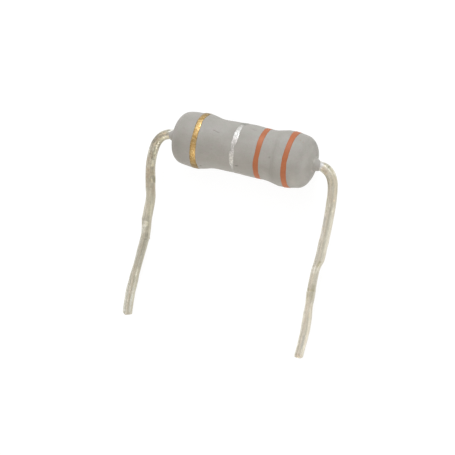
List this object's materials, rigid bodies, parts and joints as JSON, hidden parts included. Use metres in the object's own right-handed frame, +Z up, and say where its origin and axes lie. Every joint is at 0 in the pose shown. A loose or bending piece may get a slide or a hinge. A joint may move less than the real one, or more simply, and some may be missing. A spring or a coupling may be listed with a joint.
{
  "type": "metal oxide film resistor",
  "caption": "Axial film resistor: grey lacquered dog-bone body with painted colour rings and two tinned wires bent down to the same side for through-hole soldering.",
  "frame": {"origin": "middle of the footprint on the table, under the resistor as it lies on its two bulges and its wire ends", "axes": "+X along the body from the gold ring to the orange rings, wires towards -Y, +Z up from the table"},
  "size_m": [0.0162, 0.0174, 0.0045],
  "materials": {
    "alumina": "matt fired alumina",
    "oxide": "thin dark tin oxide film",
    "cap_steel": "tin plated pressed steel",
    "tinned_wire": "dull warm tin with drawn streaks and die scuffs",
    "lacquer": "matt light grey flameproof lacquer, faintly mottled",
    "gold_paint": "metallic gold paint with flake",
    "silver_paint": "metallic silver paint, worn and uneven",
    "orange_paint": "opaque dull orange paint"
  },
  "bodies": {
    "root": {"ceramic_core": "alumina", "oxide_film": "oxide", "end_cap_left": "cap_steel", "end_cap_right": "cap_steel", "lead_left": "tinned_wire", "lead_right": "tinned_wire", "coating": "lacquer", "band_gold": "gold_paint", "band_silver": "silver_paint", "band_orange_inner": "orange_paint", "band_orange_outer": "orange_paint"}
  },
  "joints": []
}
